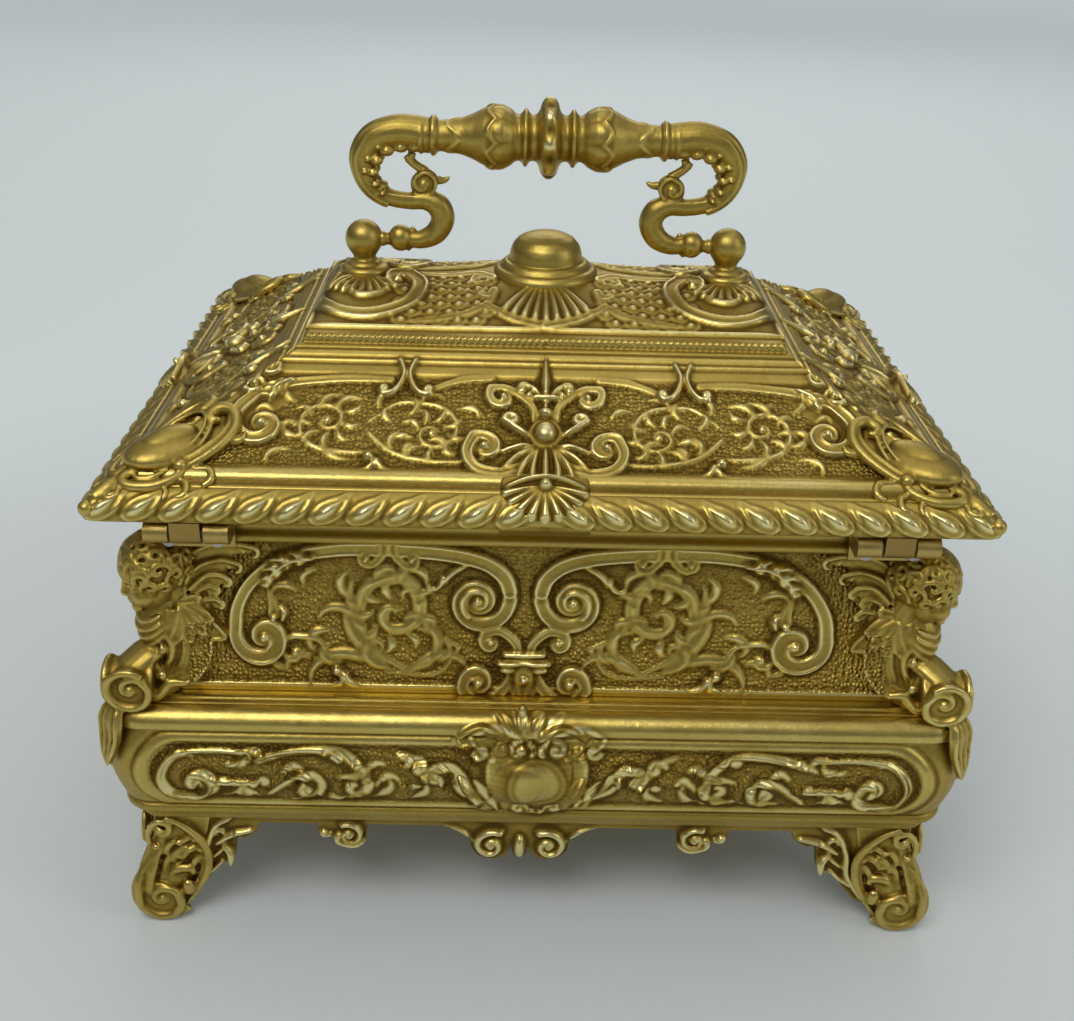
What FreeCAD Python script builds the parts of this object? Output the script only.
import FreeCAD, Part
import Sketcher
import math
import os
import re

# Gilt-brass trinket casket: scroll feet and aprons under a bulged plinth, four cast walls with a
# herm at each corner, a hipped lid on two hinges, a swinging handle on ball posts, and a lock.
# Frame: origin under the middle of the box on the surface it stands on, X along the length,
# -Y the hinge side, +Y the lock side, Z up. Millimetres.

os.makedirs("parts", exist_ok=True)
doc = FreeCAD.newDocument("trinket_box")

# "Inset" is a distance in from the lid rim's outer planes, at rim_length / 2 and rim_width / 2.
DIMENSIONS = {
    "seam": 0.05, "fit": 0.05, "gap": 0.2,
    # lid rim and slopes
    "rim_length": 200, "rim_width": 148, "rim_bottom": 113.5, "rim_band_top": 120,
    "rim_band": 5, "rim_flange_top": 115.5, "rim_opening_inset": 24, "rim_edge_round": 1.6,
    "slope_top": 139.5, "slope_inset": 41, "slope_ledge_inset": 47, "slope_wall": 2.5,
    "slope_skirt": 1.5, "cartouche_inset": 17, "cartouche_radius": 12.5, "cartouche_wall": 2.5,
    # lid top frame, crown, boss
    "top_frame_height": 3.5, "top_window_inset": 52, "top_step": 2,
    "crown_length": 114, "crown_width": 55, "crown_top_length": 108, "crown_top_width": 14,
    "crown_height": 7, "crown_wall": 2.6, "boss_radius": 12, "boss_dome_radius": 8.8,
    "boss_height": 10.3,
    # handle and its posts
    "post_spacing": 91.6, "post_foot_radius": 5.6, "post_stem_radius": 2.6, "ball_radius": 4.6,
    "pivot_height": 157.6, "pivot_radius": 1.5, "pivot_length": 4.3, "stud_radius": 1.8,
    "nut_radius": 3.3, "nut_height": 2.4, "handle_rise": 25.8, "arm_radius": 3.1,
    "arm_start": 28, "arm_loop_x": 37.5, "arm_loop_radius": 8, "arm_tail_x": 31,
    "arm_knob_x": 37, "arm_knob_radius": 3.9, "knop_radius": 10,
    # hinges and lid travel
    "hinge_x": 78.5, "hinge_y": 70.5, "hinge_z": 110.2, "knuckle_radius": 2.6,
    "hinge_pin_radius": 1, "lid_knuckle": 6.6, "case_knuckle": 5.4, "knuckle_gap": 0.6,
    "leaf_bottom": 104.2, "leaf_top": 111.2, "leaf_thickness": 1.5, "leaf_screw_radius": 0.8,
    "leaf_screw_head": 1.4, "leaf_screw_rise": 1.6, "leaf_screw_x": 5.5, "leaf_screw_length": 5.5,
    # case frame, walls, herms
    "case_top": 113.2, "frame_bottom": 104, "frame_inset": 9.5, "frame_inner_inset": 17.5,
    "frame_chamfer": 0.8, "wall_top_inset": 14.5, "wall_foot_inset": 9, "wall_hollow": 1.5,
    "wall_thickness": 2.5, "head_radius": 9.3, "head_inset": 11, "head_height": 96.5,
    "chest_radius": 6.5, "chest_height": 84, "curl_radius": 6.4, "curl_width": 13, "curl_inset": 12,
    # plinth, base, aprons, feet
    "plinth_length": 204, "plinth_width": 152, "plinth_bottom": 30.8, "plinth_top": 65.2,
    "plinth_corner": 10, "plinth_edge": 6, "plinth_wall": 4.8, "plinth_lip": 3,
    "plinth_window_inset": 16, "field_bottom": 37.7, "field_top": 57.8, "field_depth": 2.3,
    "field_end": 11, "plaque_thickness": 1.9, "base_inset": 6.2, "base_thickness": 2,
    "apron_inset": 3.7, "apron_thickness": 2.3, "apron_bottom": 25.6, "apron_drop": 16.6,
    "apron_curl_bottom": 21.5, "apron_curl_place": 0.44, "apron_end_inset": 17.2,
    "foot_width": 12,
    "foot_screw_inset": 19, "base_screw_x": 45, "base_screw_inset": 11.5,
    "screw_radius": 1.4, "screw_head_radius": 2.6, "screw_head": 1.2, "foot_screw_depth": 2.6,
    "frame_screw_depth": 4.2,
    # lining
    "liner_inset": 17.2, "liner_thickness": 2, "pad_top": 42, "lid_pad_bottom": 112,
    "lid_pad_top": 120, "lid_pad_lap": 2,
    # lock
    "lock_width": 28, "lock_bottom": 88, "lock_top": 109.5, "lock_depth": 7.2, "lock_wall": 1.2,
    "keyhole_height": 96, "keyhole_radius": 2, "staple_thickness": 2, "staple_width": 4,
    "staple_bottom": 103.4, "strike_length": 20, "strike_width": 6, "strike_thickness": 1.2,
    "bolt_height": 2.4, "bolt_thickness": 2, "bolt_length": 11, "bolt_gap": 0.6,
    "bolt_centre": 106.8, "escutcheon_width": 13, "escutcheon_height": 15,
    "escutcheon_thickness": 1.2,
}

sheet = doc.addObject("Spreadsheet::Sheet", "dims")
for row, (alias, size) in enumerate(DIMENSIONS.items(), start=1):
    sheet.set(f"A{row}", alias)
    sheet.set(f"B{row}", str(size))
    sheet.setAlias(f"B{row}", alias)
doc.recompute()

# Each side's turn about Z brings a wall drawn on the -Y side to its place.
TURNS = {"back": 0, "right": 90, "front": 180, "left": 270}


def sides(length, width):
    """Each side's turn, with the half length along its wall and the half depth across the box."""
    halves = (f"{length} / 2", f"{width} / 2")
    return {side: (turn, *(halves if turn % 180 == 0 else halves[::-1])) for side, turn in TURNS.items()}


SIDES = sides("rim_length", "rim_width")
# Each corner's side of X and Y, and the turn that points a piece drawn along -Y out of it.
CORNERS = {
    "back_left": (-1, -1, -45),
    "back_right": (1, -1, 45),
    "front_right": (1, 1, 135),
    "front_left": (-1, 1, -135),
}
HANDS = {"left": -1, "right": 1}
UP = FreeCAD.Vector(0, 0, 1)
nodes = []


def bound(text):
    """Point every dimension named in text at its cell."""
    return re.sub(r"[a-z_]+", lambda word: "dims." * (word.group() in DIMENSIONS) + word.group(), text)


def number(text):
    return float(sheet.evalExpression(bound(text)))


def size(item, **values):
    for key, text in values.items():
        item.setExpression(key, bound(text))


def place(item, x="0", y="0", z="0", turn=FreeCAD.Rotation()):
    item.Placement = FreeCAD.Placement(FreeCAD.Vector(), turn)
    for axis, text in zip("xyz", (x, y, z)):
        item.setExpression(f"Placement.Base.{axis}", bound(text))
    return item


def about_z(angle):
    return FreeCAD.Rotation(UP, angle)


def node(item, label):
    """Keep item as the sub-part called label."""
    item.Label = label
    nodes.append(item)
    return item


# Part primitives and booleans

def block(name, x, y, z):
    """Box between pairs of expressions on each axis."""
    box = doc.addObject("Part::Box", name)
    spans = [f"({high}) - ({low})" for low, high in (x, y, z)]
    size(box, Length=spans[0], Width=spans[1], Height=spans[2])
    return place(box, x[0], y[0], z[0])


def rod(name, radius, length, at, along="z"):
    """Cylinder that starts at the point at and runs along an axis."""
    turns = {
        "x": FreeCAD.Rotation(FreeCAD.Vector(0, 1, 0), 90),
        "y": FreeCAD.Rotation(FreeCAD.Vector(1, 0, 0), -90),
        "z": FreeCAD.Rotation(),
    }
    cylinder = doc.addObject("Part::Cylinder", name)
    size(cylinder, Radius=radius, Height=length)
    return place(cylinder, *at, turn=turns[along])


def fuse(name, shapes):
    joined = doc.addObject("Part::MultiFuse", name)
    joined.Shapes = shapes
    return joined


def cut(name, base, tools):
    """base less every tool, which must take something away."""
    tool = tools[0] if len(tools) == 1 else fuse(name + "_tools", tools)
    result = doc.addObject("Part::Cut", name)
    result.Base = base
    result.Tool = tool
    doc.recompute()
    if result.Shape.Volume > base.Shape.Volume - 1e-3:
        raise RuntimeError(f"{name} cuts nothing")
    return result


def corner_wedge(name, bottom, top, bottom_inset, top_inset, reach="70"):
    """Solid inside both planes of a corner, drawn at the corner with the diagonal along Y."""
    wedge = doc.addObject("Part::Wedge", name)
    size(wedge, Xmin=bottom_inset, Xmax=reach, X2min=top_inset, X2max=reach, Ymin=bottom, Ymax=top,
         Zmin=f"-({reach})", Zmax=f"-({bottom_inset})", Z2min=f"-({reach})", Z2max=f"-({top_inset})")
    upright = FreeCAD.Rotation(FreeCAD.Vector(1, 0, 0), 90)
    return place(wedge, turn=about_z(45).multiply(upright))


# PartDesign bodies and sketches

def new_body(label):
    return node(doc.addObject("PartDesign::Body", label), label)


def sketch(body, role, name, offset="0"):
    """Empty sketch on one of the body's own origin planes."""
    drawing = body.newObject("Sketcher::SketchObject", name)
    base = next(plane for plane in body.Origin.OriginFeatures if plane.Role == role)
    drawing.AttachmentSupport = [(base, "")]
    drawing.MapMode = "FlatFace"
    drawing.setExpression("AttachmentOffset.Base.z", bound(offset))
    return drawing


def fix_point(drawing, element, point, x, y):
    for kind, text in (("DistanceX", x), ("DistanceY", y)):
        index = drawing.addConstraint(Sketcher.Constraint(kind, -1, 1, element, point, number(text)))
        drawing.setExpression(f"Constraints[{index}]", bound(text))


def polygon(drawing, corners):
    """Closed outline through corners, each a pair of expressions."""
    points = [FreeCAD.Vector(number(x), number(y), 0) for x, y in corners]
    first = drawing.GeometryCount
    count = len(points)
    for i in range(count):
        drawing.addGeometry(Part.LineSegment(points[i], points[(i + 1) % count]), False)
    for i in range(count):
        following = first + (i + 1) % count
        drawing.addConstraint(Sketcher.Constraint("Coincident", first + i, 2, following, 1))
    for i, (x, y) in enumerate(corners):
        fix_point(drawing, first + i, 1, x, y)
    return drawing


def rectangle(drawing, half_x, half_y):
    ends = ((-1, -1), (1, -1), (1, 1), (-1, 1))
    return polygon(drawing, [(f"{i} * ({half_x})", f"{j} * ({half_y})") for i, j in ends])


def mirrored(points):
    """Outline points of a right half, followed by their mirror images on the left."""
    return points + [(f"-({x})", y) for x, y in reversed(points)]


def circles(drawing, centres, radius):
    for x, y in centres:
        centre = FreeCAD.Vector(number(x), number(y), 0)
        index = drawing.addGeometry(Part.Circle(centre, UP, number(radius)), False)
        fix_point(drawing, index, 3, x, y)
        limit = drawing.addConstraint(Sketcher.Constraint("Radius", index, number(radius)))
        drawing.setExpression(f"Constraints[{limit}]", bound(radius))
    return drawing


def pad(body, drawing, length, midplane=False):
    feature = body.newObject("PartDesign::Pad", drawing.Name + "_pad")
    feature.Profile = drawing
    feature.Midplane = midplane
    size(feature, Length=length)
    doc.recompute()
    return feature


def pocket(body, drawing, depth, upward=False):
    """Pocket that runs down from the sketch, or up, and must remove something."""
    doc.recompute()
    before = body.Shape.Volume
    feature = body.newObject("PartDesign::Pocket", drawing.Name + "_pocket")
    feature.Profile = drawing
    feature.Reversed = upward
    size(feature, Length=depth)
    doc.recompute()
    if body.Shape.Volume > before - 1e-3:
        raise RuntimeError(f"{feature.Name} cuts nothing")
    return feature


def dress(body, kind, name, chosen, radius):
    """Fillet or chamfer on the edges that chosen picks."""
    doc.recompute()
    base = body.Tip
    picked = [f"Edge{i}" for i, edge in enumerate(base.Shape.Edges, start=1) if chosen(edge)]
    feature = body.newObject(f"PartDesign::{kind}", name)
    feature.Base = (base, picked)
    size(feature, **{"Radius" if kind == "Fillet" else "Size": radius})
    doc.recompute()
    return feature


def turned(body, name, role, axis, outline):
    """Solid of revolution about one of the sketch's own axes."""
    drawing = polygon(sketch(body, role, name), outline)
    feature = body.newObject("PartDesign::Revolution", name + "_turn")
    feature.Profile = drawing
    feature.ReferenceAxis = (drawing, [axis])
    feature.Angle = 360
    doc.recompute()
    return feature


def is_upright(edge):
    box = edge.BoundBox
    return box.ZLength > 1 and box.XLength < 1e-6 and box.YLength < 1e-6


def lies_at(height, half_x, half_y):
    """Test for the edges of an outer outline at one height."""
    def test(edge):
        box = edge.BoundBox
        level = abs(box.ZMin - height) < 1e-4 and abs(box.ZMax - height) < 1e-4
        reach = max(abs(box.XMin), abs(box.XMax)) > half_x or max(abs(box.YMin), abs(box.YMax)) > half_y
        return level and reach
    return test


def mitred_wall(label, side, profile, first_inset, last_inset):
    """Wall of constant section along one side, its ends mitred at 45 degrees."""
    turn, run, depth = SIDES[side]
    wall = new_body(label)
    outline = [(f"({inset}) - {depth}", height) for inset, height in profile]
    drawing = polygon(sketch(wall, "YZ_Plane", label + "_profile"), outline)
    pad(wall, drawing, f"2 * ({run} - ({first_inset}))", midplane=True)
    highest = f"{max(number(height) for inset, height in profile)} + 1"
    mitres = sketch(wall, "XY_Plane", label + "_mitres", highest)
    outer = f"({first_inset}) - 1"
    inner = f"({last_inset}) + 1"
    for hand in (-1, 1):
        polygon(mitres, [
            (f"{hand} * ({run} - ({outer}) - seam)", f"({outer}) - {depth}"),
            (f"{hand} * ({run} - ({inner}) - seam)", f"({inner}) - {depth}"),
            (f"{hand} * ({run} - ({outer}) + 1)", f"({inner}) - {depth}"),
            (f"{hand} * ({run} - ({outer}) + 1)", f"({outer}) - {depth}"),
        ])
    pocket(wall, mitres, "200")
    return place(wall, turn=about_z(turn))


def at_corner(item, corner):
    side_x, side_y, angle = CORNERS[corner]
    return place(item, f"{side_x} * rim_length / 2", f"{side_y} * rim_width / 2", turn=about_z(angle))


# Base, plinth, aprons and feet

def four_ways(x, y):
    return [(f"{i} * ({x})", f"{j} * ({y})") for i in (-1, 1) for j in (-1, 1)]


BASE_SCREWS = four_ways("base_screw_x", "rim_width / 2 - base_screw_inset")
BASE_SCREWS += [(f"{i} * (rim_length / 2 - base_screw_inset)", "0") for i in (-1, 1)]
FOOT_SCREWS = four_ways("rim_length / 2 - foot_screw_inset", "rim_width / 2 - foot_screw_inset")
LEAF_SCREWS = [
    (f"{hand} * hinge_x + {offset} * leaf_screw_x", "leaf_bottom + leaf_screw_rise")
    for hand in (-1, 1) for offset in (-1, 1)
]


def make_base_plate():
    plate = new_body("base_plate")
    outline = sketch(plate, "XY_Plane", "base_outline", "plinth_bottom - base_thickness")
    rectangle(outline, "rim_length / 2 - base_inset", "rim_width / 2 - base_inset")
    pad(plate, outline, "base_thickness")
    holes = sketch(plate, "XY_Plane", "base_holes", "plinth_bottom")
    circles(holes, BASE_SCREWS + FOOT_SCREWS, "screw_radius + fit")
    pocket(plate, holes, "base_thickness")


def stadium(name, run, grow, thickness, distance, turn):
    """Upright slab with round ends, in front of the plane at distance, as high as the fields."""
    middle = "(field_bottom + field_top) / 2"
    radius = f"(field_top - field_bottom) / 2 + {grow}"
    half = f"{run} - field_end - (field_top - field_bottom) / 2"
    face = f"-({distance}) - ({thickness})"
    heights = (f"{middle} - ({radius})", f"{middle} + {radius}")
    pieces = [block(name + "_slab", (f"-({half})", half), (face, f"-({distance})"), heights)]
    for hand in (-1, 1):
        centre = (f"{hand} * ({half})", face, middle)
        pieces.append(rod(f"{name}_end_{len(pieces)}", radius, thickness, centre, "y"))
    return place(fuse(name, pieces), turn=about_z(turn))


def make_plinth():
    casting = doc.addObject("PartDesign::Body", "plinth_casting")
    outline = sketch(casting, "XY_Plane", "plinth_outline", "plinth_bottom")
    rectangle(outline, "plinth_length / 2", "plinth_width / 2")
    pad(casting, outline, "plinth_top - plinth_bottom")
    dress(casting, "Fillet", "plinth_corners", is_upright, "plinth_corner")
    for name, height in (("lower", "plinth_bottom"), ("upper", "plinth_top")):
        chosen = lies_at(number(height), 0, 0)
        dress(casting, "Fillet", f"plinth_{name}_edge", chosen, "plinth_edge")
    window = sketch(casting, "XY_Plane", "plinth_window", "plinth_top")
    rectangle(window, "rim_length / 2 - plinth_window_inset", "rim_width / 2 - plinth_window_inset")
    pocket(casting, window, "plinth_top - plinth_bottom")
    hollow = sketch(casting, "XY_Plane", "plinth_hollow", "plinth_top - plinth_lip")
    rectangle(hollow, "plinth_length / 2 - plinth_wall", "plinth_width / 2 - plinth_wall")
    pocket(casting, hollow, "plinth_top - plinth_bottom - 2 * plinth_lip")
    holes = sketch(casting, "XY_Plane", "plinth_screw_holes", "plinth_bottom")
    circles(holes, BASE_SCREWS, "screw_radius + fit")
    pocket(casting, holes, "plinth_lip", upward=True)

    fields = []
    for side, (turn, run, depth) in sides("plinth_length", "plinth_width").items():
        floor = f"{depth} - field_depth"
        fields.append(stadium(f"field_{side}", run, "0", "field_depth + 1", floor, turn))
        plaque = stadium(f"plaque_{side}", run, "-gap", "plaque_thickness", floor, turn)
        node(plaque, f"plinth_plaque_{side}")
    node(cut("plinth", casting, fields), "plinth_ring")


def make_apron(side):
    """Pierced-edge strip with a double scroll in the middle and smaller scrolls beside it."""
    turn, run, depth = SIDES[side]
    curl = f"{run} * apron_curl_place"
    apron = new_body(f"apron_{side}")
    face = f"{depth} - apron_inset - apron_thickness"
    drawing = sketch(apron, "XZ_Plane", f"apron_{side}_outline", face)
    half = [
        ("3", "apron_drop"), ("11", "apron_drop + 2"), ("14", "apron_bottom"),
        (f"{curl} - 7", "apron_bottom"), (f"{curl} - 5", "apron_curl_bottom"),
        (f"{curl} + 2", "apron_curl_bottom"), (f"{curl} + 6", "apron_bottom"),
        (f"{run} - apron_end_inset", "apron_bottom"),
        (f"{run} - apron_end_inset", "plinth_bottom"),
    ]
    polygon(drawing, mirrored(half))
    pad(apron, drawing, "apron_thickness")
    place(apron, turn=about_z(turn))


def make_foot(corner):
    """Scroll foot seen from the side: leaf under the base, waist, and a toe rolled outwards."""
    foot = new_body(f"foot_{corner}")
    seat = "plinth_bottom - base_thickness"
    outline = [
        ("31", seat), ("31", f"{seat} - 3"), ("22", "23"), ("17.5", "15"), ("16.2", "7"),
        ("13.2", "0"), ("6.5", "0"), ("3.9", "3"), ("3.2", "7"), ("4.6", "11.5"), ("8.6", "16"),
        ("9.4", "23"), ("7.5", seat),
    ]
    drawing = polygon(sketch(foot, "YZ_Plane", f"foot_{corner}_side"), outline)
    pad(foot, drawing, "foot_width", midplane=True)
    hole = sketch(foot, "XY_Plane", f"foot_{corner}_hole", seat)
    circles(hole, [("0", "foot_screw_inset * sqrt(2)")], "screw_radius + fit")
    pocket(foot, hole, "foot_screw_depth")
    at_corner(foot, corner)


def screw_group(label, centres, seat, shank, points_up):
    """Screws with their heads on one plane, as one group of separate solids."""
    direction = 1 if points_up else -1
    screws = []
    for i, (x, y) in enumerate(centres):
        screw = doc.addObject("PartDesign::Body", f"{label}_{i}")
        profile = [
            ("0", f"-{direction} * screw_head"),
            ("screw_head_radius", f"-{direction} * screw_head"),
            ("screw_head_radius", "0"),
            ("screw_radius", "0"),
            ("screw_radius", f"{direction} * ({shank})"),
            ("0", f"{direction} * ({shank})"),
        ]
        turned(screw, f"{label}_profile_{i}", "XZ_Plane", "V_Axis", profile)
        screws.append(place(screw, x, y, seat))
    group = doc.addObject("Part::Compound", label)
    group.Links = screws
    node(group, label)


# Walls, case frame, herms and lining

def make_side_panel(side):
    middle = "(plinth_top + frame_bottom) / 2"
    foot = "plinth_top"
    profile = [
        ("wall_foot_inset", foot),
        ("(wall_foot_inset + wall_top_inset) / 2 + wall_hollow", middle),
        ("wall_top_inset", "frame_bottom"),
        ("wall_top_inset + wall_thickness", "frame_bottom"),
        ("(wall_foot_inset + wall_top_inset) / 2 + wall_hollow + wall_thickness", middle),
        ("wall_foot_inset + wall_thickness", foot),
    ]
    label = f"side_panel_{side}"
    panel = mitred_wall(label, side, profile, "wall_foot_inset", "wall_top_inset + wall_thickness")
    if side == "front":
        hole = sketch(panel, "XZ_Plane", "panel_keyhole", "rim_width / 2")
        circles(hole, [("0", "keyhole_height")], "keyhole_radius")
        pocket(panel, hole, "30")


def make_case_frame():
    frame = new_body("case_frame")
    outline = sketch(frame, "XY_Plane", "frame_outline", "frame_bottom")
    rectangle(outline, "rim_length / 2 - frame_inset", "rim_width / 2 - frame_inset")
    pad(frame, outline, "case_top - frame_bottom")
    window = sketch(frame, "XY_Plane", "frame_window", "case_top")
    rectangle(window, "rim_length / 2 - frame_inner_inset", "rim_width / 2 - frame_inner_inset")
    pocket(frame, window, "case_top - frame_bottom")
    for name, height in (("lower", "frame_bottom"), ("upper", "case_top")):
        half_x = number("rim_length / 2 - frame_inset") - 0.1
        half_y = number("rim_width / 2 - frame_inset") - 0.1
        chosen = lies_at(number(height), half_x, half_y)
        dress(frame, "Chamfer", f"frame_{name}_chamfer", chosen, "frame_chamfer")
    seats = sketch(frame, "XZ_Plane", "frame_screw_holes", "rim_width / 2 - frame_inset")
    circles(seats, LEAF_SCREWS, "leaf_screw_radius + fit")
    pocket(frame, seats, "frame_screw_depth")


def make_herm(corner):
    """Corner bracket: a head over a draped bust that tapers to a rolled leaf on the plinth."""
    name = f"herm_{corner}"
    head_y = "head_inset * sqrt(2)"
    head = doc.addObject("Part::Sphere", name + "_head")
    size(head, Radius="head_radius")
    place(head, "0", head_y, "head_height")
    bust = doc.addObject("Part::Cone", name + "_bust")
    size(bust, Radius1="chest_radius - 1.5", Radius2="chest_radius + 1",
         Height="head_height - chest_height")
    place(bust, "0", f"{head_y} + 1.5", "chest_height")
    shaft = doc.addObject("Part::Cone", name + "_shaft")
    size(shaft, Radius1="chest_radius - 2.5", Radius2="chest_radius",
         Height="chest_height - plinth_top - 0.5")
    place(shaft, "0", f"{head_y} - 0.5", "plinth_top + 0.5")
    curl_at = ("-curl_width / 2", "curl_inset", "plinth_top + curl_radius")
    curl = rod(name + "_curl", "curl_radius", "curl_width", curl_at, "x")
    walls = corner_wedge(name + "_walls", "plinth_top - 1", "frame_bottom - 0.1",
                         "wall_foot_inset - gap", "wall_top_inset - gap")
    clear = "frame_inset - leaf_thickness - leaf_screw_radius - gap"
    cornice = corner_wedge(name + "_cornice", "frame_bottom - 0.1", "case_top", clear, clear)
    solid = fuse(name + "_solid", [head, bust, shaft, curl])
    at_corner(node(cut(name, solid, [walls, cornice]), f"corner_herm_{corner}"), corner)


def make_lining():
    outer_x = "rim_length / 2 - liner_inset"
    outer_y = "rim_width / 2 - liner_inset"
    floor = "plinth_bottom + screw_head"
    heights = (floor, "frame_bottom - gap")
    for side, sign in (("back", -1), ("front", 1)):
        near = f"{sign} * ({outer_y}) - (1 + {sign}) / 2 * liner_thickness"
        across = (near, f"{near} + liner_thickness")
        slab = block(f"lining_{side}", (f"-({outer_x})", outer_x), across, heights)
        if side == "front":
            notch = block("lining_lock_notch", ("-lock_width / 2 - gap", "lock_width / 2 + gap"),
                          ("40", "rim_width / 2"), ("lock_bottom - gap", "frame_bottom"))
            slab = cut("lining_front_notched", slab, [notch])
        node(slab, f"liner_{side}")
    inner_y = f"{outer_y} - liner_thickness - gap"
    for side, sign in HANDS.items():
        near = f"{sign} * ({outer_x}) - (1 + {sign}) / 2 * liner_thickness"
        across = (near, f"{near} + liner_thickness")
        slab = block(f"lining_{side}", across, (f"-({inner_y})", inner_y), heights)
        node(slab, f"liner_{side}")
    pad_x = f"{outer_x} - liner_thickness - gap"
    cushion = block("floor_cushion", (f"-({pad_x})", pad_x), (f"-({inner_y})", inner_y), (floor, "pad_top"))
    node(cushion, "floor_pad")


# Hinges

def make_hinge(hand):
    sign = HANDS[hand]
    name = f"hinge_{hand}"
    half_lid = "lid_knuckle / 2"
    near = "lid_knuckle / 2 + knuckle_gap"
    far = "lid_knuckle / 2 + knuckle_gap + case_knuckle"
    face = "hinge_y - (rim_width / 2 - frame_inset)"
    centre = (f"{sign} * hinge_x", "-hinge_y", "hinge_z")
    bore = rod(name + "_bore", "hinge_pin_radius + fit", f"2 * ({far})", (f"-({far})", "0", "0"), "x")
    plate = block(name + "_plate", (f"-({far})", far), (f"{face} - leaf_thickness", face),
                  ("leaf_bottom - hinge_z", "leaf_top - hinge_z"))
    pieces = [plate]
    for start, end in ((f"-({far})", f"-({near})"), (near, far)):
        count = len(pieces)
        at = (start, "0", "0")
        barrel = rod(f"{name}_barrel_{count}", "knuckle_radius", f"({end}) - ({start})", at, "x")
        web = block(f"{name}_web_{count}", (start, end), ("0", face), ("-knuckle_radius", "0"))
        pieces += [barrel, web]
    holes = []
    for offset in (-1, 1):
        at = (f"{offset} * leaf_screw_x", "0", "leaf_bottom + leaf_screw_rise - hinge_z")
        holes.append(rod(f"{name}_hole_{len(holes)}", "leaf_screw_radius + fit", "hinge_y", at, "y"))
    leaf = cut(name + "_leaf", fuse(name + "_leaf_solid", pieces), [bore] + holes)
    place(node(leaf, f"hinge_leaf_{hand}"), *centre)

    lid_barrel = rod(name + "_lid_barrel", "knuckle_radius", "lid_knuckle", (f"-{half_lid}", "0", "0"), "x")
    web = block(name + "_strap_web", (f"-{half_lid}", half_lid), ("-knuckle_radius", "knuckle_radius"),
                ("0", "rim_bottom - hinge_z"))
    lid_bore = rod(name + "_lid_bore", "hinge_pin_radius + fit", f"2 * ({far})", (f"-({far})", "0", "0"), "x")
    strap = cut(name + "_strap", fuse(name + "_strap_solid", [lid_barrel, web]), [lid_bore])
    place(node(strap, f"hinge_strap_{hand}"), *centre)
    pin_start = (f"{sign} * hinge_x - ({far})", *centre[1:])
    return rod(name + "_pin", "hinge_pin_radius", f"2 * ({far})", pin_start, "x")


def make_hinges():
    pins = doc.addObject("Part::Compound", "hinge_pin_pair")
    pins.Links = [make_hinge(hand) for hand in HANDS]
    node(pins, "hinge_pins")
    screws = []
    face = "-(rim_width / 2 - frame_inset) - leaf_thickness"
    for i, (x, z) in enumerate(LEAF_SCREWS):
        head_at = (x, f"{face} - leaf_screw_radius", z)
        head = rod(f"leaf_screw_head_{i}", "leaf_screw_head", "leaf_screw_radius", head_at, "y")
        shank = rod(f"leaf_screw_shank_{i}", "leaf_screw_radius", "leaf_screw_length", (x, face, z), "y")
        screws.append(fuse(f"leaf_screw_{i}", [head, shank]))
    group = doc.addObject("Part::Compound", "leaf_screws")
    group.Links = screws
    node(group, "hinge_leaf_screws")


# Lock

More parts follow.
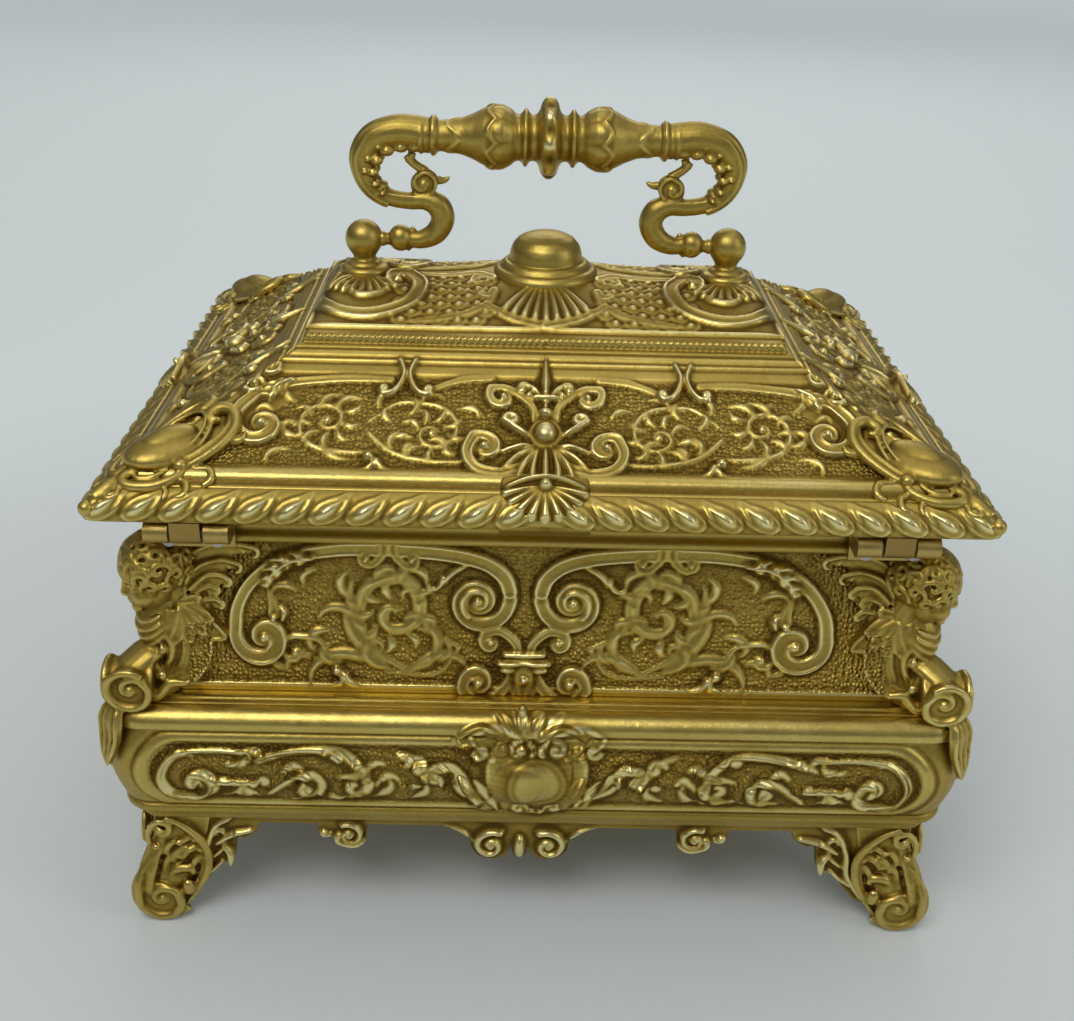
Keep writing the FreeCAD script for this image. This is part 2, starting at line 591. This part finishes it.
def make_lock():
    front = "rim_width / 2 - frame_inner_inset"
    back = f"{front} - lock_depth"
    middle = f"{front} - lock_depth / 2"
    half = "lock_width / 2"
    shell = block("lock_shell", (f"-{half}", half), (back, front), ("lock_bottom", "lock_top"))
    room = block("lock_room", (f"lock_wall - {half}", f"{half} - lock_wall"),
                 (f"{back} + lock_wall", f"{front} - lock_wall"),
                 ("lock_bottom + lock_wall", "lock_top - lock_wall"))
    slot = block("lock_slot", ("-staple_thickness / 2 - 0.8", "staple_thickness / 2 + 0.8"),
                 (f"{middle} - staple_width / 2 - 0.4", f"{middle} + staple_width / 2 + 0.4"),
                 ("lock_top - 2 * lock_wall", "lock_top + 1"))
    keyway = rod("lock_keyway", "keyhole_radius", "10", ("0", f"{front} - 3", "keyhole_height"), along="y")
    node(cut("lock", shell, [room, slot, keyway]), "lock_case")

    tip = "-staple_thickness / 2 - bolt_gap"
    low = "bolt_centre - bolt_height / 2"
    thickness = (f"{middle} - bolt_thickness / 2", f"{middle} + bolt_thickness / 2")
    bar = block("bolt_bar", (f"{tip} - bolt_length", tip), thickness, (low, "bolt_centre + bolt_height / 2"))
    tail = block("bolt_tail", (f"{tip} - 8", f"{tip} - 5"), thickness, ("keyhole_height + 3", low))
    node(fuse("bolt", [bar, tail]), "lock_bolt")

    leaf = block("strike_leaf", ("-strike_length / 2", "strike_length / 2"),
                 (f"{middle} - strike_width / 2", f"{middle} + strike_width / 2"),
                 ("rim_bottom - strike_thickness", "rim_bottom"))
    staple = block("strike_staple", ("-staple_thickness / 2", "staple_thickness / 2"),
                   (f"{middle} - staple_width / 2", f"{middle} + staple_width / 2"),
                   ("staple_bottom", "rim_bottom - strike_thickness"))
    eye = block("strike_eye", ("-staple_thickness", "staple_thickness"),
                (f"{middle} - bolt_thickness / 2 - 0.3", f"{middle} + bolt_thickness / 2 + 0.3"),
                (f"{low} - 0.5", "bolt_centre + bolt_height / 2 + 0.5"))
    node(cut("strike", fuse("strike_solid", [leaf, staple]), [eye]), "strike_plate")

    # The plate lies on the upper half of the front wall, which leans back from its hollow.
    rise = "(frame_bottom - plinth_top) / 2"
    run = "(wall_top_inset - wall_foot_inset) / 2 - wall_hollow"
    tilt = FreeCAD.Rotation(FreeCAD.Vector(1, 0, 0), math.degrees(math.atan2(number(run), number(rise))))
    plate = block("escutcheon_plate", ("-escutcheon_width / 2", "escutcheon_width / 2"),
                  ("0", "escutcheon_thickness"), ("-escutcheon_height / 2", "escutcheon_height / 2"))
    mouth = rod("escutcheon_mouth", "keyhole_radius", "9", ("0", "-4", "0"), along="y")
    inset = f"wall_top_inset - (frame_bottom - keyhole_height) / ({rise}) * ({run})"
    cover = node(cut("escutcheon", plate, [mouth]), "keyhole_escutcheon")
    place(cover, "0", f"rim_width / 2 - ({inset}) + seam", "keyhole_height", turn=tilt)


# Lid

def make_lid_rim():
    rim = new_body("lid_rim")
    outline = sketch(rim, "XY_Plane", "rim_outline", "rim_bottom")
    rectangle(outline, "rim_length / 2", "rim_width / 2")
    pad(rim, outline, "rim_band_top - rim_bottom")
    opening = sketch(rim, "XY_Plane", "rim_opening", "rim_band_top")
    rectangle(opening, "rim_length / 2 - rim_opening_inset", "rim_width / 2 - rim_opening_inset")
    pocket(rim, opening, "rim_band_top - rim_bottom")
    seat = sketch(rim, "XY_Plane", "rim_seat", "rim_band_top")
    rectangle(seat, "rim_length / 2 - rim_band", "rim_width / 2 - rim_band")
    pocket(rim, seat, "rim_band_top - rim_flange_top")
    half_x = number("rim_length / 2") - 0.1
    half_y = number("rim_width / 2") - 0.1
    for name, height in (("lower", "rim_bottom"), ("upper", "rim_band_top")):
        dress(rim, "Fillet", f"rim_{name}_round", lies_at(number(height), half_x, half_y), "rim_edge_round")


def make_slope(side):
    """Hipped lid panel with a skirt behind the rim and a ledge under the top frame."""
    pitch = "(slope_top - rim_band_top) / (slope_inset - rim_band)"
    drop = f"slope_wall * sqrt(1 + ({pitch})^2)"
    skirt_inset = "rim_band + seam + slope_skirt"
    profile = [
        ("rim_band + seam", "rim_flange_top"),
        ("rim_band + seam", "rim_band_top"),
        ("slope_inset", "slope_top"),
        ("slope_ledge_inset", "slope_top"),
        ("slope_ledge_inset", "slope_top - slope_wall"),
        (f"slope_inset + (({drop}) - slope_wall) / ({pitch})", "slope_top - slope_wall"),
        (skirt_inset, f"rim_band_top - ({drop}) + slope_skirt * {pitch}"),
        (skirt_inset, "rim_flange_top"),
    ]
    mitred_wall(f"lid_slope_{side}", side, profile, "rim_band + seam", "slope_ledge_inset")


def make_corner_cartouche(corner):
    """Shield bent over the hip between two slopes."""
    name = f"cartouche_{corner}"
    shells = []
    for lift in ("cartouche_wall + seam", "seam"):
        shells.append(corner_wedge(f"{name}_roof_{len(shells)}", f"rim_band_top + {lift}",
                                   f"slope_top + {lift}", "rim_band", "slope_inset"))
    foot = ("0", "cartouche_inset * sqrt(2)", "rim_band_top + cartouche_wall")
    prism = rod(name + "_prism", "cartouche_radius", "slope_top", foot)
    solid = doc.addObject("Part::Common", name + "_solid")
    solid.Base = shells[0]
    solid.Tool = prism
    at_corner(node(cut(name, solid, [shells[1]]), f"lid_cartouche_{corner}"), corner)


def make_top_frame():
    frame = new_body("lid_top_frame")
    outline = sketch(frame, "XY_Plane", "top_frame_outline", "slope_top")
    rectangle(outline, "rim_length / 2 - slope_inset", "rim_width / 2 - slope_inset")
    pad(frame, outline, "top_frame_height / 2")
    step = sketch(frame, "XY_Plane", "top_frame_step", "slope_top + top_frame_height / 2")
    rectangle(step, "rim_length / 2 - slope_inset - top_step", "rim_width / 2 - slope_inset - top_step")
    pad(frame, step, "top_frame_height / 2")
    window = sketch(frame, "XY_Plane", "top_frame_window", "slope_top + top_frame_height")
    rectangle(window, "rim_length / 2 - top_window_inset", "rim_width / 2 - top_window_inset")
    pocket(frame, window, "top_frame_height")


STUDS = {"left": "-post_spacing / 2", "middle": "0", "right": "post_spacing / 2"}
CROWN_TOP = "slope_top + top_frame_height + crown_height"


def crown_wedge(name, shrink, height):
    wedge = doc.addObject("Part::Wedge", name)
    for low, high, length in (("Xmin", "Xmax", "crown_length"), ("X2min", "X2max", "crown_top_length"),
                              ("Zmin", "Zmax", "crown_width"), ("Z2min", "Z2max", "crown_top_width")):
        inward = f"{shrink} * 0.7" if low == "Z2min" else shrink
        size(wedge, **{low: f"{inward} - {length} / 2", high: f"{length} / 2 - {inward}"})
    size(wedge, Ymin="0", Ymax=height)
    return place(wedge, z="slope_top + top_frame_height", turn=FreeCAD.Rotation(FreeCAD.Vector(1, 0, 0), 90))


def make_crown():
    outer = crown_wedge("crown_outer", "0", "crown_height")
    inner = crown_wedge("crown_inner", "crown_wall", "crown_height - crown_wall")
    holes = [rod(f"crown_hole_{name}", "stud_radius + fit", "20", (x, "0", f"{CROWN_TOP} - 10"))
             for name, x in STUDS.items()]
    node(cut("crown_shell", outer, [inner] + holes), "crown")


def stud(base_radius):
    """Outline of the stud below a fitting, up to the edge of its base."""
    end = "-crown_wall - nut_height - 0.4"
    return [("0", end), ("stud_radius", end), ("stud_radius", "0"), (base_radius, "0")]


def make_boss():
    boss = new_body("crown_boss")
    outline = stud("boss_radius") + [
        ("boss_radius", "1.6"), ("boss_radius - 1.4", "2.6"), ("boss_dome_radius + 0.6", "3.2"),
        ("boss_dome_radius", "4"), ("boss_dome_radius - 0.7", "6.6"), ("boss_dome_radius * 0.66", "8.7"),
        ("boss_dome_radius * 0.3", "boss_height - 0.3"), ("0", "boss_height"),
    ]
    turned(boss, "boss_profile", "XZ_Plane", "V_Axis", outline)
    place(boss, z=CROWN_TOP)


def make_post(hand):
    """Ball-headed post with a stud below and a pivot bore from the ball's inner side."""
    ball = "pivot_height - (" + CROWN_TOP + ")"
    neck = "sqrt(ball_radius^2 - post_stem_radius^2)"
    post = new_body(f"handle_post_{hand}")
    outline = stud("post_foot_radius") + [
        ("post_foot_radius", "0.9"),
        ("post_stem_radius", "1.8"),
        ("post_stem_radius", f"{ball} - {neck}"),
    ]
    for degrees in range(-50, 90, 14):
        outline.append((f"ball_radius * cos({degrees})", f"{ball} + ball_radius * sin({degrees})"))
    outline.append(("0", f"{ball} + ball_radius"))
    turned(post, f"post_{hand}_profile", "XZ_Plane", "V_Axis", outline)
    bore = sketch(post, "YZ_Plane", f"post_{hand}_bore")
    circles(bore, [("0", ball)], "pivot_radius + fit")
    pocket(post, bore, "ball_radius + 1", upward=True)
    angle = 180 if HANDS[hand] > 0 else 0
    place(post, f"{HANDS[hand]} * post_spacing / 2", "0", CROWN_TOP, turn=about_z(angle))


def make_nuts():
    nuts = []
    seat = CROWN_TOP + " - crown_wall - nut_height"
    for name, x in STUDS.items():
        blank = doc.addObject("Part::Prism", f"nut_blank_{name}")
        blank.Polygon = 6
        size(blank, Circumradius="nut_radius", Height="nut_height")
        place(blank, x, "0", seat)
        thread = rod(f"nut_thread_{name}", "stud_radius + fit", "nut_height + 2", (x, "0", seat + " - 1"))
        nuts.append(cut(f"nut_{name}", blank, [thread]))
    group = doc.addObject("Part::Compound", "nuts")
    group.Links = nuts
    node(group, "stud_nuts")


def make_lid_pad():
    inner_x = "rim_length / 2 - rim_opening_inset"
    inner_y = "rim_width / 2 - rim_opening_inset"
    lap_x = f"{inner_x} + lid_pad_lap"
    lap_y = f"{inner_y} + lid_pad_lap"
    backing = block("lid_pad_backing", (f"-({lap_x})", lap_x), (f"-({lap_y})", lap_y),
                    ("rim_flange_top", "lid_pad_top"))
    face = block("lid_pad_face", (f"gap - ({inner_x})", f"{inner_x} - gap"),
                 (f"gap - ({inner_y})", f"{inner_y} - gap"), ("lid_pad_bottom", "rim_flange_top"))
    node(fuse("lid_cushion", [backing, face]), "lid_pad")


# Handle, drawn about its pivot axis

def make_handle_bar():
    """Turned bar: a disc knop in the middle, then a bulb, a taper and an end collar each side."""
    bar = new_body("handle_bar")
    half = [
        ("1.2", "knop_radius"), ("3", "7.2"), ("4.2", "5.6"), ("5.8", "6.9"), ("7.4", "5.7"),
        ("9.5", "6.6"), ("13", "7.7"), ("16.6", "5.6"), ("21", "3.7"), ("26", "3.5"),
        ("arm_start - gap", "4.4"), ("arm_start - gap", "0"),
    ]
    turned(bar, "bar_profile", "XZ_Plane", "H_Axis", mirrored(half[::-1])[::-1])
    place(bar, z="pivot_height + handle_rise")


def make_handle_arm(hand):
    """Scroll arm: out from the bar, round a loop, back under it, and out to a knob and pivot."""
    arm = new_body(f"handle_arm_{hand}")
    top = "handle_rise"
    middle = "handle_rise - 2 * arm_loop_radius"
    tail_radius = number(middle) / 2
    path = sketch(arm, "XZ_Plane", f"arm_{hand}_path")
    ends = ("arm_start", "arm_loop_x", "arm_tail_x", "arm_knob_x")
    start, loop, tail, knob = (number(text) for text in ends)
    loop_radius, rise, level = (number(text) for text in ("arm_loop_radius", top, middle))
    point = FreeCAD.Vector
    quarter = math.pi / 2
    path.addGeometry(Part.LineSegment(point(start, rise, 0), point(loop, rise, 0)), False)
    loop_circle = Part.Circle(point(loop, rise - loop_radius, 0), UP, loop_radius)
    path.addGeometry(Part.ArcOfCircle(loop_circle, -quarter, quarter), False)
    path.addGeometry(Part.LineSegment(point(loop, level, 0), point(tail, level, 0)), False)
    tail_circle = Part.Circle(point(tail, tail_radius, 0), UP, tail_radius)
    path.addGeometry(Part.ArcOfCircle(tail_circle, quarter, 3 * quarter), False)
    path.addGeometry(Part.LineSegment(point(tail, 0, 0), point(knob, 0, 0)), False)
    for first, end, second, begin in ((0, 2, 1, 2), (1, 1, 2, 1), (2, 2, 3, 1), (3, 2, 4, 1)):
        path.addConstraint(Sketcher.Constraint("Tangent", first, end, second, begin))
    for line in (0, 2, 4):
        path.addConstraint(Sketcher.Constraint("Horizontal", line))
    fix_point(path, 0, 1, "arm_start", top)
    fix_point(path, 4, 2, "arm_knob_x", "0")
    for arc, text in ((1, "arm_loop_x"), (3, "arm_tail_x")):
        index = path.addConstraint(Sketcher.Constraint("DistanceX", -1, 1, arc, 3, number(text)))
        path.setExpression(f"Constraints[{index}]", bound(text))
    index = path.addConstraint(Sketcher.Constraint("Radius", 1, loop_radius))
    path.setExpression(f"Constraints[{index}]", bound("arm_loop_radius"))
    section = sketch(arm, "YZ_Plane", f"arm_{hand}_section", "arm_start")
    circles(section, [("0", top)], "arm_radius")
    doc.recompute()
    pipe = arm.newObject("PartDesign::AdditivePipe", f"arm_{hand}_pipe")
    pipe.Profile = section
    pipe.Spine = (path, [f"Edge{i}" for i in range(1, 6)])
    doc.recompute()
    ball_face = "post_spacing / 2 - ball_radius - 0.3"
    outline = [
        ("arm_knob_x - 4", "0"), ("arm_knob_x - 4", "2.2"), ("arm_knob_x - 2", "arm_knob_radius"),
        ("arm_knob_x + 1.6", "arm_knob_radius"), (f"{ball_face} - 0.3", "2.1"),
        (ball_face, "pivot_radius"), (f"{ball_face} + pivot_length", "pivot_radius"),
        (f"{ball_face} + pivot_length", "0"),
    ]
    turned(arm, f"arm_{hand}_knob", "XZ_Plane", "H_Axis", outline)
    place(arm, z="pivot_height", turn=about_z(0 if HANDS[hand] > 0 else 180))


make_base_plate()
make_plinth()
for side in SIDES:
    make_apron(side)
for corner in CORNERS:
    make_foot(corner)
seat = "plinth_bottom"
screw_group("base_screws", BASE_SCREWS, f"{seat} - base_thickness", "base_thickness + plinth_lip", True)
screw_group("foot_screws", FOOT_SCREWS, seat, "base_thickness + foot_screw_depth - gap", False)
for side in SIDES:
    make_side_panel(side)
make_case_frame()
for corner in CORNERS:
    make_herm(corner)
make_lining()
make_hinges()
make_lock()
make_lid_rim()
for side in SIDES:
    make_slope(side)
for corner in CORNERS:
    make_corner_cartouche(corner)
make_top_frame()
make_crown()
make_boss()
for hand in HANDS:
    make_post(hand)
make_nuts()
make_lid_pad()
make_handle_bar()
for hand in HANDS:
    make_handle_arm(hand)
doc.recompute()

faulty = [item.Name for item in doc.Objects if {"Invalid", "Error"} & set(item.State)]
if faulty:
    raise RuntimeError(f"features failed: {faulty}")
for item in nodes:
    if item.Shape.isNull() or not item.Shape.isValid():
        raise RuntimeError(f"{item.Label} has no valid shape")
for item in nodes:
    item.Shape.exportStep(f"parts/{item.Label}.step")
print(len(nodes), "sub-parts")
